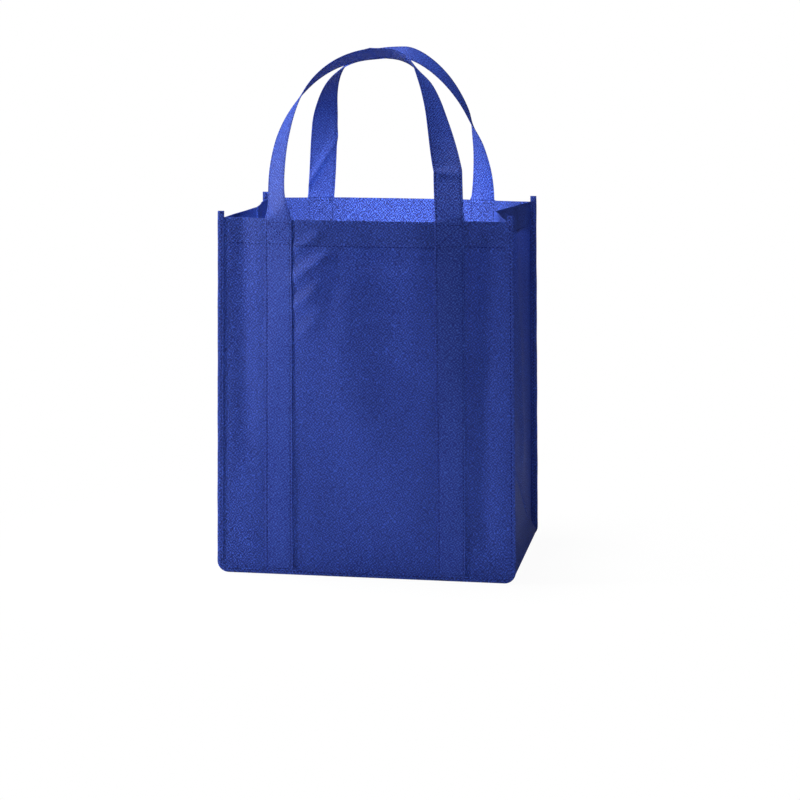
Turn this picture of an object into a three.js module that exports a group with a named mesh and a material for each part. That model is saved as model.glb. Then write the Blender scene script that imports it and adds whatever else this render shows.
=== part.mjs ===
// A plain non-woven grocery tote bag, standing open with its two handles up.
// Millimetres, +Z up, front at -Y, origin on the ground under the middle of the bag.
// Two flat panels are sewn to one strip that makes both gussets and the base. The seams face
// outwards and are bound with folded tape, and each handle runs down its panel to the base seam.

import * as THREE from 'three';
import { LoftGeometry } from 'three/addons/geometries/LoftGeometry.js';

const { clamp, degToRad, lerp, smoothstep } = THREE.MathUtils;

// Cloth and body
const bagWidth = 310; // between the side seams at the base
const bagHeight = 385; // ground to mouth
const bagDepth = 216; // between the front and back panels
const cloth = 0.5; // one layer of non-woven cloth
const clearance = 0.3; // between layers that lie on each other
const mouthPinch = 5.5; // how far each side seam leans in at the mouth
const panelBelly = 15; // how far each panel swells outwards at the middle of its mouth
const bellyShare = 0.7; // share of the half width over which it swells, from the side seam
const hemDepth = 29; // cloth turned in round the mouth
const hemInset = 2.5; // from a side seam to the turned-in layer

// Seams and their binding tape
const seamAllowance = 6.5; // cloth outside the stitch line
const seamCorner = 5; // radius of the stitch line at the bottom corners
const tape = 0.5; // thickness of the binding tape
const tapeEnd = 6.5; // tape that stands up above the mouth
const tapeLift = 0.3; // under the tape along the base, which the ground doesn't touch

// Gusset folds and base
const leftFold = 10; // how far the left gusset's crease is pushed in at the mouth
const rightFold = 25; // how far the right gusset's crease is pushed in at the mouth
const splitFold = 13; // how far both creases are pushed in where they split
const foldSplit = 118; // height at which a crease splits and runs to the two base corners
const creaseWidth = 5; // flat along the crease itself
const baseShoulder = 12; // from a base seam to the flat of the base
const shoulderFade = 30; // length over which the shoulder dies out up a gusset

// Handles
const strapWidth = 30;
const strapThickness = 1; // cloth folded to a double layer
const strapSpacing = 187; // between the middles of a handle's two legs
const leanCurve = 1.3; // power by which a handle leans over as it rises
const topTilt = 0.8; // how much of that lean the strap's own face takes

// Lie of each handle. One leg turns early above the mouth, the other stands straight first and
// turns late. Turns are pairs of a distance along the leg from the mouth and an angle in degrees.
const frontHandle = {
  rise: 168.8, // mouth to the top of the handle's middle line
  lean: 86, // how far the top falls over towards the other handle
  topShift: 9.7, // sideways shift of the top, towards the late leg
  earlyInset: 4.2, // how far inwards the early leg's strap stands at the mouth
  earlySpread: 15.8, // how far outwards that leg is pulled
  earlyLeg: 87.5, // how far up it is pulled
  earlyArch: 93.2, // how far the top pulls the loop level towards it
  earlyTurn: [[0, 6], [12, 38], [25, 44], [58, 45], [93, 50], [116, 58], [150, 72], [185, 79], [225, 86]],
  lateInset: 2.2, // how far inwards the late leg's strap stands at the mouth
  lateStand: 51, // how far up the late leg stands straight
  lateDrift: 4.7, // how far inwards it gets over that way
  lateSlant: 0.278, // inwards slant of the leg above that, as a share of its rise
  lateLeg: 64.8, // how far up the slant pulls the loop
  lateArch: 45.3, // how far the top pulls the loop level towards the late leg
  lateTurn: [[0, 3], [45, 8], [70, 20], [97, 37], [120, 50], [142, 57], [165, 66], [185, 84], [225, 87]],
};
const backHandle = {
  rise: 166.8,
  lean: 60,
  topShift: -14.4,
  earlyInset: -1.5,
  earlySpread: 9,
  earlyLeg: 121,
  earlyArch: 21.3,
  earlyTurn: [[0, 22], [38, 41], [55, 51], [74, 61], [87, 72], [97, 82], [120, 85], [150, 89], [190, 92]],
  lateInset: 2.5,
  lateStand: 66.3,
  lateDrift: 7.4,
  lateSlant: 0.134,
  lateLeg: 62.7,
  lateArch: 86.6,
  lateTurn: [[0, 5], [50, 15], [95, 28], [120, 52], [140, 65], [165, 80], [190, 85], [210, 92]],
};

// Loose board in the base
const boardThickness = 1.5;
const boardInset = 1.5; // from the flat's edge to the board
const boardCorner = 10; // radius of the board's corners

// Fineness of the mesh
const panelColumns = 20;
const sideRows = 8;
const cornerSteps = 4;
const shoulderSteps = 5;
const loopSteps = 60;

// Levels and layers that follow from the dimensions
const halfWidth = bagWidth / 2;
const halfDepth = bagDepth / 2;
const clothEdge = tapeLift + tape + clearance;
const baseSeam = clothEdge + seamAllowance;
const sideFoot = baseSeam + seamCorner;
const hemFoot = bagHeight - hemDepth;
const edgeCorner = seamCorner + seamAllowance;
const stripHalf = halfDepth - cloth - clearance;
const strapFace = halfDepth + cloth / 2 + clearance;
const tapeRoot = cloth / 2 + clearance;

const bagBlue = new THREE.MeshStandardMaterial({ color: 0x2d3f92, roughness: 0.72, metalness: 0 });
const strapBlue = new THREE.MeshStandardMaterial({ color: 0x2a3a8a, roughness: 0.7, metalness: 0 });
const tapeBlue = new THREE.MeshStandardMaterial({ color: 0x24327c, roughness: 0.7, metalness: 0 });
const boardBlack = new THREE.MeshStandardMaterial({ color: 0x1d1e22, roughness: 0.5, metalness: 0 });

// A closed body skinned over rings of points, with flat ends.
function loft(rings) {
  return new LoftGeometry(rings, { capStart: true, capEnd: true });
}

function evenSteps(from, to, count) {
  return Array.from({ length: count + 1 }, (_, i) => lerp(from, to, i / count));
}

// A polyline moved sideways to its left, by one amount for each of its points.
function offsetLine(line, amounts) {
  const leftOf = (a, b) => new THREE.Vector2(a.y - b.y, b.x - a.x).normalize();
  return line.map((point, i) => {
    const before = i > 0 ? leftOf(line[i - 1], point) : leftOf(point, line[i + 1]);
    const after = i < line.length - 1 ? leftOf(point, line[i + 1]) : before;
    const mitre = before.clone().add(after).normalize();
    return point.clone().addScaledVector(mitre, amounts[i] / mitre.dot(before));
  });
}

// Half the width between the side seams at a height.
function seamHalf(z) {
  return halfWidth - mouthPinch * Math.max(0, z - sideFoot) / (bagHeight - sideFoot);
}

// How far a panel's cloth stands out of its flat plane at a point of the panel.
function belly(x, z) {
  const fromSeam = 1 - Math.abs(x) / seamHalf(z);
  return panelBelly * smoothstep(fromSeam, 0, bellyShare) * smoothstep(z, baseSeam, bagHeight);
}

// Heights that a panel and the straps on it share, so that both bend at the same places.
function panelHeights() {
  return evenSteps(sideFoot, hemFoot - cloth, sideRows).concat(hemFoot, bagHeight);
}

// One panel with rounded lower corners and its hem turned in to a second layer.
function panelGeometry() {
  const rowAt = (z, inset) => {
    const seam = seamHalf(z);
    const hemEdge = seam - hemInset;
    const edges = [hemEdge + cloth, seam, seam + seamAllowance];
    const leftEdges = edges.map((x) => -x).reverse();
    const columns = [...leftEdges, ...evenSteps(-hemEdge, hemEdge, panelColumns), ...edges];
    const narrowing = 1 - inset / (seam + seamAllowance);
    const point = (column, layer) => {
      const x = column * narrowing;
      return new THREE.Vector3(x, -halfDepth - belly(x, z) + layer, z);
    };
    const isDouble = (column) => z >= hemFoot && Math.abs(column) <= hemEdge;
    const outside = columns.map((x) => point(x, -cloth / 2));
    const inside = columns.map((x) => point(x, isDouble(x) ? 1.5 * cloth : cloth / 2));
    return outside.concat(inside.reverse());
  };

  const turns = evenSteps(0, Math.PI / 2, cornerSteps).slice(0, -1);
  const cornerRows = turns.map((turn) => rowAt(
    clothEdge + edgeCorner * (1 - Math.cos(turn)),
    edgeCorner * (1 - Math.sin(turn)),
  ));
  return loft(cornerRows.concat(panelHeights().map((z) => rowAt(z, 0))));
}

// Stations down the left side, round the base and up the right side along the stitch line.
// Each has its point, its outward direction in the XZ plane and its way from the base's end.
function seamStations(climbs) {
  const sideStation = (side, climb) => ({
    point: new THREE.Vector2(side * seamHalf(sideFoot + climb), sideFoot + climb),
    outward: new THREE.Vector2(side, 0),
    side,
    climb,
    way: seamCorner * Math.PI / 2 + climb,
  });
  const cornerStation = (side, turn) => {
    const outward = new THREE.Vector2(side * Math.sin(turn), -Math.cos(turn));
    const centre = new THREE.Vector2(side * (halfWidth - seamCorner), sideFoot);
    const point = centre.addScaledVector(outward, seamCorner);
    return { point, outward, side, climb: 0, way: seamCorner * turn };
  };
  const turns = evenSteps(0, Math.PI / 2, cornerSteps).slice(0, -1);
  const half = (side) => turns.map((turn) => cornerStation(side, turn))
    .concat(climbs.map((climb) => sideStation(side, climb)));
  return half(-1).reverse().concat(half(1));
}

// The place of a point that lies so far outwards from a station, at a depth y.
function atStation(station, out, y) {
  const spot = station.point.clone().addScaledVector(station.outward, out);
  return new THREE.Vector3(spot.x, y, spot.y);
}

// The strip of both gussets and the base: a channel whose flanges are sewn to the panels. Up a
// gusset its web is pushed in along a crease, which splits low down into two that run to the
// corners. Under the base the web drops from the seams to a flat that stands on the ground.
function stripGeometry() {
  const top = bagHeight - sideFoot;
  const climbs = [
    ...evenSteps(0, foldSplit, sideRows),
    ...evenSteps(foldSplit, top - hemDepth - cloth, sideRows).slice(1),
    top - hemDepth,
    top,
  ];
  const baseDrop = baseSeam - cloth / 2;
  const creaseReach = stripHalf - creaseWidth / 2;

  const rings = seamStations(climbs).map((station) => {
    const { side, climb, way } = station;
    const mouthFold = side < 0 ? leftFold : rightFold;
    const push = climb < foldSplit
      ? splitFold * climb / foldSplit
      : lerp(splitFold, mouthFold, (climb - foldSplit) / (top - foldSplit));
    const reach = lerp(baseShoulder, creaseReach, clamp(climb / foldSplit, 0, 1));
    const drop = baseDrop * (1 - smoothstep(way, 0, shoulderFade));

    const flange = [new THREE.Vector2(-stripHalf, seamAllowance), new THREE.Vector2(-stripHalf, 0)];
    const web = evenSteps(0, 1, shoulderSteps).map((share) => {
      const inwards = lerp(hemInset, reach, share);
      const out = drop * smoothstep(share, 0, 1) - push * inwards / reach;
      return new THREE.Vector2(inwards - stripHalf, out);
    });
    const nearHalf = flange.concat(web);
    const farHalf = nearHalf.map((p) => new THREE.Vector2(-p.x, p.y)).reverse();
    const line = nearHalf.concat(farHalf);

    const layers = climb >= top - hemDepth ? 1.5 : 0.5;
    const isFlange = (p) => Math.abs(p.x) >= stripHalf;
    const outside = offsetLine(line, line.map(() => cloth / 2));
    const inside = offsetLine(line, line.map((p) => -cloth * (isFlange(p) ? 0.5 : layers)));
    return outside.concat(inside.reverse()).map((p) => atStation(station, p.y, p.x));
  });
  return loft(rings);
}

// Tape folded over the raw edges of one panel and the strip, from mouth to mouth.
function bindingGeometry() {
  const front = cloth / 2 + clearance;
  const behind = front + cloth + clearance;
  const edge = seamAllowance + clearance;
  const section = [
    [tapeRoot, -front - tape],
    [edge + tape, -front - tape],
    [edge + tape, behind + tape],
    [tapeRoot, behind + tape],
    [tapeRoot, behind],
    [edge, behind],
    [edge, -front],
    [tapeRoot, -front],
  ];
  const stations = seamStations([0, bagHeight + tapeEnd - sideFoot]);
  return loft(stations.map((station) => section.map(([out, y]) => (
    atStation(station, out, y - halfDepth)
  ))));
}

// Middle of a strap on its panel, which stands a little further in at the mouth than at the base.
function strapMiddle(handle, side, z) {
  const inset = side < 0 ? handle.earlyInset : handle.lateInset;
  return side * (strapSpacing / 2 - inset * smoothstep(z, baseSeam, bagHeight));
}

// Middle line of a handle above the mouth, leaning over as it rises. The late leg stands straight
// up to a crease and slants inwards above it, as a flat strap can't bend edgeways.
class HandleLoop extends THREE.Curve {
  constructor(handle) {
    super();
    this.handle = handle;
    const { rise, topShift } = handle;
    const early = strapMiddle(handle, -1, bagHeight);
    const late = strapMiddle(handle, 1, bagHeight);
    this.foot = -strapFace - strapThickness / 2 - belly(late, bagHeight);
    const crease = new THREE.Vector2(late - handle.lateDrift, handle.lateStand);
    const slanted = new THREE.Vector2(-handle.lateSlant, 1).multiplyScalar(handle.lateLeg).add(crease);
    this.flat = new THREE.CurvePath();
    this.flat.add(new THREE.CubicBezierCurve(
      new THREE.Vector2(early, 0),
      new THREE.Vector2(early - handle.earlySpread, handle.earlyLeg),
      new THREE.Vector2(topShift - handle.earlyArch, rise),
      new THREE.Vector2(topShift, rise),
    ));
    this.flat.add(new THREE.CubicBezierCurve(
      new THREE.Vector2(topShift, rise),
      new THREE.Vector2(topShift + handle.lateArch, rise),
      slanted,
      crease,
    ));
    this.flat.add(new THREE.LineCurve(crease, new THREE.Vector2(late, 0)));
  }

  getPoint(t) {
    const flat = this.flat.getPoint(t);
    const share = Math.max(flat.y, 0) / this.handle.rise;
    return new THREE.Vector3(
      flat.x,
      this.foot + this.handle.lean * share ** leanCurve,
      bagHeight + flat.y,
    );
  }

  // Direction square to the leaning loop, towards the front.
  facing(point) {
    const { rise, lean } = this.handle;
    const share = clamp((point.z - bagHeight) / rise, 0, 1);
    const slope = topTilt * leanCurve * lean * share ** (leanCurve - 1);
    return new THREE.Vector3(0, -rise, slope).normalize();
  }

  // Turn of the strap about its middle line, from both legs.
  twist(u) {
    const length = this.getLength();
    const early = turnAt(this.handle.earlyTurn, u * length);
    const late = turnAt(this.handle.lateTurn, (1 - u) * length);
    return degToRad(Math.min(early, late));
  }
}

// Angle of a leg's turn at a distance from the mouth.
function turnAt(turns, distance) {
  const next = turns.findIndex(([place]) => place > distance);
  if (next < 0) return turns.at(-1)[1];
  const [from, start] = turns[next - 1];
  const [to, end] = turns[next];
  return lerp(start, end, (distance - from) / (to - from));
}

// A strap from the base seam up the panel, over the free loop and down again. Each leg makes a
// quarter turn, so that the strap lies flat on the panel and flat over the hand.
function handleGeometry(handle) {
  const across = [-strapWidth / 2, 0, strapWidth / 2];
  const strapFoot = baseSeam - tapeRoot + clearance;
  const heights = [strapFoot, ...panelHeights()];

  const onPanel = (side, z) => {
    const spot = (offset, layer) => {
      const x = strapMiddle(handle, side, z) - side * offset;
      return new THREE.Vector3(x, -strapFace - belly(x, z) - layer, z);
    };
    const outside = across.map((offset) => spot(offset, strapThickness));
    const inside = across.map((offset) => spot(offset, 0));
    return outside.concat(inside.reverse());
  };

  const loop = new HandleLoop(handle);
  const inLoop = (u) => {
    const point = loop.getPointAt(u);
    const along = loop.getTangentAt(u);
    const facing = loop.facing(point);
    const twist = loop.twist(u);
    const outwards = new THREE.Vector3().crossVectors(facing, along);
    const face = facing.multiplyScalar(Math.cos(twist)).addScaledVector(outwards, Math.sin(twist));
    const side = new THREE.Vector3().crossVectors(along, face).normalize();
    const spot = (offset, layer) => point.clone()
      .addScaledVector(side, offset)
      .addScaledVector(face, layer);
    const outside = across.map((offset) => spot(offset, strapThickness / 2));
    const inside = across.map((offset) => spot(offset, -strapThickness / 2));
    return outside.concat(inside.reverse());
  };

  const up = heights.map((z) => onPanel(-1, z));
  const over = evenSteps(0, 1, loopSteps).slice(1, -1).map(inLoop);
  const down = heights.map((z) => onPanel(1, z)).reverse();
  return loft([...up, ...over, ...down]);
}

// A stiff loose board on the flat of the base.
function boardGeometry() {
  const x = halfWidth - seamCorner - boardInset;
  const y = stripHalf - baseShoulder - boardInset;
  const outline = new THREE.Shape();
  outline.absarc(x - boardCorner, y - boardCorner, boardCorner, 0, Math.PI / 2);
  outline.absarc(boardCorner - x, y - boardCorner, boardCorner, Math.PI / 2, Math.PI);
  outline.absarc(boardCorner - x, boardCorner - y, boardCorner, Math.PI, 1.5 * Math.PI);
  outline.absarc(x - boardCorner, boardCorner - y, boardCorner, 1.5 * Math.PI, 2 * Math.PI);
  return new THREE.ExtrudeGeometry(outline, {
    depth: boardThickness,
    bevelEnabled: false,
    curveSegments: cornerSteps,
  });
}

function namedMesh(name, geometry, material) {
  const mesh = new THREE.Mesh(geometry, material);
  mesh.name = name;
  return mesh;
}

// One face of the bag: its panel, the binding round it and its handle.
function bagFace(name, handle) {
  const face = new THREE.Group();
  face.add(namedMesh(`${name}_panel`, panelGeometry(), bagBlue));
  face.add(namedMesh(`${name}_binding`, bindingGeometry(), tapeBlue));
  face.add(namedMesh(`${name}_handle`, handleGeometry(handle), strapBlue));
  return face;
}

const frontFace = bagFace('front', frontHandle);
const backFace = bagFace('back', backHandle);
backFace.rotation.z = Math.PI;

const gussetStrip = namedMesh('gusset_and_base', stripGeometry(), bagBlue);
const baseBoard = namedMesh('base_board', boardGeometry(), boardBlack);
baseBoard.position.z = cloth + clearance;

const tote = new THREE.Group();
tote.add(frontFace, backFace, gussetStrip, baseBoard);

export default tote;
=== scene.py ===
"""A plain non-woven grocery tote bag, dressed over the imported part.

Every cloth piece is one continuous sheet that follows the part's own shape: two panels with their
hems turned in, one strip for both gussets and the base, two folded binding tapes and two doubled
straps. The sewing is real thread, stitch by stitch. Sizes are in millimetres until a mesh is made.
"""

from __future__ import annotations

import logging
import math
from dataclasses import dataclass
from enum import Enum

import bpy
import numpy as np
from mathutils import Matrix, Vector

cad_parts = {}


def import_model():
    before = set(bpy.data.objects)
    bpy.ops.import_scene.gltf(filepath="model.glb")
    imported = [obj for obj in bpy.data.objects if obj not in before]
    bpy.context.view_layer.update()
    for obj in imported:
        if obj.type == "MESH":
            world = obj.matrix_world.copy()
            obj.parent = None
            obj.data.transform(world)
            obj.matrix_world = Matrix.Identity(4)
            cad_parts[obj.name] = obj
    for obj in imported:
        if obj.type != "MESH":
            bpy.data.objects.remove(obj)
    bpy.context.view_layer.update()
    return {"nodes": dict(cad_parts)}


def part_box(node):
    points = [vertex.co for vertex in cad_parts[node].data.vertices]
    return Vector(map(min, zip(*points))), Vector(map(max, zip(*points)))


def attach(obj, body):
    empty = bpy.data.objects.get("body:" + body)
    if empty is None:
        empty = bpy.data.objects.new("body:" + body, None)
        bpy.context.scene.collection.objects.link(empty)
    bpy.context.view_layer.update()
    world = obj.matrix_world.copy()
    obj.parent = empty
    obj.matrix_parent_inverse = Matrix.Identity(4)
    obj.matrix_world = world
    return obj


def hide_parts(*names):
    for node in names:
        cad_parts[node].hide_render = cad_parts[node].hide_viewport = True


LOG = logging.getLogger("tote")
MM = 0.001

# A crease dies out over a share of its length within limits, and starts to do so inside its ends.
FADE_WIDTHS, FADE_SHARE, LONGEST_FADE, FADE_INSIDE = 1.6, 0.35, 40.0, 0.6
# Columns of the gusset strip that lie in each seam.
FLANGE = 3
# Steps round a hem's turned edge.
HEM_BEND = 7
# Distances of a strap's outer columns from its edge.
RIM = np.array([0.0, 0.12, 0.45, 1.1, 1.8, 2.4, 3.0, 3.6, 4.5])
# Scale at which the wave texture makes one wave for each unit.
ONE_WAVE = math.tau / 20.0

Socket = bpy.types.NodeSocket
Limits = tuple[float, float]
Stations = dict[str, np.ndarray]
Turn = tuple[tuple[float, float], ...]


class Face(Enum):
    """The two faces of the bag. The back is the front turned half round the upright axis."""

    FRONT = "front"
    BACK = "back"

    def place(self, points: np.ndarray) -> np.ndarray:
        """Turn points that were worked out for the front to this face.

        Args:
            points: Points or directions of the front face, the last axis x, y and z.

        Returns:
            The same points on this face.
        """
        if self is Face.FRONT:
            return points
        return points * np.array([-1.0, -1.0, 1.0])


def smoothstep(value: np.ndarray | float, low: float, high: float) -> np.ndarray:
    """Ease from 0 to 1 between two limits.

    Args:
        value: Numbers to ease.
        low: Limit up to which the result is 0.
        high: Limit from which the result is 1.

    Returns:
        The eased numbers.
    """
    share = np.clip((np.asarray(value, dtype=float) - low) / (high - low), 0.0, 1.0)
    return share * share * (3.0 - 2.0 * share)


def unit(vectors: np.ndarray) -> np.ndarray:
    """Scale vectors to length one.

    Args:
        vectors: Vectors along the last axis.

    Returns:
        The unit vectors.
    """
    return vectors / np.maximum(np.linalg.norm(vectors, axis=-1, keepdims=True), 1e-12)


def run_length(points: np.ndarray, axis: int) -> np.ndarray:
    """Distance along rows or columns of points, from the first one.

    Args:
        points: Grid or line of points, the last axis x, y and z.
        axis: Axis to walk along.

    Returns:
        Distance of each point from the first one on its line.
    """
    steps = np.linalg.norm(np.diff(points, axis=axis), axis=-1)
    start = np.zeros_like(np.take(steps, [0], axis=axis))
    return np.concatenate([start, np.cumsum(steps, axis=axis)], axis=axis)


def soften(values: np.ndarray, rounds: int) -> None:
    """Smooth rows of numbers in place, their ends held.

    Args:
        values: Numbers to smooth along the last axis.
        rounds: How often each number is eased towards its neighbours.
    """
    for _ in range(rounds):
        values[..., 1:-1] = (values[..., :-2] + 2 * values[..., 1:-1] + values[..., 2:]) / 4


def beside_seam(stations: Stations, out: np.ndarray, y: np.ndarray) -> np.ndarray:
    """Points beside a seam.

    Args:
        stations: Stations of the seam.
        out: Distance out from the stitch line.
        y: Place from front to back.

    Returns:
        Points, one row for each station.
    """
    point, outward = stations["point"], stations["outward"]
    x = point[:, [0]] + outward[:, [0]] * out
    z = point[:, [1]] + outward[:, [1]] * out
    return np.stack([x, np.broadcast_to(y, x.shape), z], axis=-1)


def hex_to_linear(code: str) -> tuple[float, float, float, float]:
    """Turn an sRGB colour to the linear values that shaders take.

    Args:
        code: Colour as six hex digits, with or without a leading #.

    Returns:
        Linear red, green, blue and an alpha of 1.
    """
    digits = code.lstrip("#")
    parts = [int(digits[i : i + 2], 16) / 255.0 for i in (0, 2, 4)]
    red, green, blue = (p / 12.92 if p <= 0.04045 else ((p + 0.055) / 1.055) ** 2.4 for p in parts)
    return red, green, blue, 1.0


def add_node(
    tree: bpy.types.NodeTree, kind: str, inputs: dict, **settings: object
) -> bpy.types.Node:
    """Add one node with its settings, values and links.

    Args:
        tree: Node tree that gets the node.
        kind: Node type, such as ShaderNodeMath.
        inputs: Socket name or number to a value, or to an output socket that is linked to it.
        settings: Properties of the node itself.

    Returns:
        The new node.
    """
    node = tree.nodes.new(kind)
    for name, value in settings.items():
        setattr(node, name, value)
    for name, value in inputs.items():
        if isinstance(value, bpy.types.NodeSocket):
            tree.links.new(value, node.inputs[name])
        else:
            node.inputs[name].default_value = value
    return node


def new_tree(block: bpy.types.Material | bpy.types.World) -> bpy.types.NodeTree:
    """Give a material or a world an empty node tree.

    Args:
        block: Material or world.

    Returns:
        Its node tree.
    """
    block.use_nodes = True
    block.node_tree.nodes.clear()
    return block.node_tree


def add_noise(
    tree: bpy.types.NodeTree, place: Socket, size: float, detail: float, roughness: float = 0.5
) -> Socket:
    """Add a cloudy pattern of a real size.

    Args:
        tree: Node tree that gets the pattern.
        place: Places in metres.
        size: Size of the clouds in millimetres.
        detail: Number of finer layers.
        roughness: Strength of the finer layers.

    Returns:
        The pattern, from 0 to 1.
    """
    inputs = {"Vector": place, "Scale": 1.0 / (size * MM), "Detail": detail, "Roughness": roughness}
    return add_node(tree, "ShaderNodeTexNoise", inputs).outputs["Fac"]


def add_ramp(
    tree: bpy.types.NodeTree, value: Socket, source: Limits = (0.0, 1.0),
    target: Limits = (0.0, 1.0), **settings: object,
) -> Socket:
    """Stretch a value from one range to another, held at both ends.

    Args:
        tree: Node tree that gets the node.
        value: Value to stretch.
        source: Range that the value is taken from.
        target: Range that it is given.
        settings: Properties of the node itself.

    Returns:
        The stretched value.
    """
    inputs = {"Value": value, "From Min": source[0], "From Max": source[1]}
    inputs |= {"To Min": target[0], "To Max": target[1]}
    return add_node(tree, "ShaderNodeMapRange", inputs, **settings).outputs[0]


def add_blend(tree: bpy.types.NodeTree, share: Socket, low: object, high: object) -> Socket:
    """Blend two colours by a pattern.

    Args:
        tree: Node tree that gets the node.
        share: Share of the second colour.
        low: First colour, plain or from a socket.
        high: Second colour.

    Returns:
        The blended colour.
    """
    inputs = {0: share, 6: low, 7: high}
    return add_node(tree, "ShaderNodeMix", inputs, data_type="RGBA").outputs[2]


def add_bump(tree: bpy.types.NodeTree, height: Socket, strength: float, depth: float) -> Socket:
    """Add a fine relief.

    Args:
        tree: Node tree that gets the node.
        height: Pattern of the relief.
        strength: How strongly it shows.
        depth: Depth in millimetres.

    Returns:
        The bumped normal.
    """
    inputs = {"Height": height, "Strength": strength, "Distance": depth * MM}
    return add_node(tree, "ShaderNodeBump", inputs).outputs["Normal"]


@dataclass(frozen=True)
class Crease:
    """A soft ridge or hollow in a hanging cloth, in millimetres across and up the cloth."""

    start: tuple[float, float]
    end: tuple[float, float]
    height: float
    width: float

    def lift(self, across: np.ndarray, up: np.ndarray) -> np.ndarray:
        """Height of the ridge over the plain cloth.

        Args:
            across: Places across the cloth.
            up: Places up the cloth.

        Returns:
            Height at each place, dying out to the sides and past both ends.
        """
        start, end = np.array(self.start), np.array(self.end)
        way = end - start
        length = float(np.linalg.norm(way))
        along = ((across - start[0]) * way[0] + (up - start[1]) * way[1]) / length
        aside = ((across - start[0]) * way[1] - (up - start[1]) * way[0]) / length
        fade = max(FADE_WIDTHS * self.width, min(FADE_SHARE * length, LONGEST_FADE))
        past = np.maximum(0.0, np.abs(along - length / 2) - length / 2 + FADE_INSIDE * fade)
        return self.height * np.exp(-((aside / self.width) ** 2) - (past / fade) ** 2)


def lift_all(creases: tuple[Crease, ...], across: np.ndarray | float, up: np.ndarray) -> np.ndarray:
    """Add up the heights of several creases.

    Args:
        creases: The creases.
        across: Places across the cloth.
        up: Places up the cloth.

    Returns:
        Height at each place.
    """
    flat = np.zeros(np.broadcast(across, up).shape)
    return sum((crease.lift(across, up) for crease in creases), flat)


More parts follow.
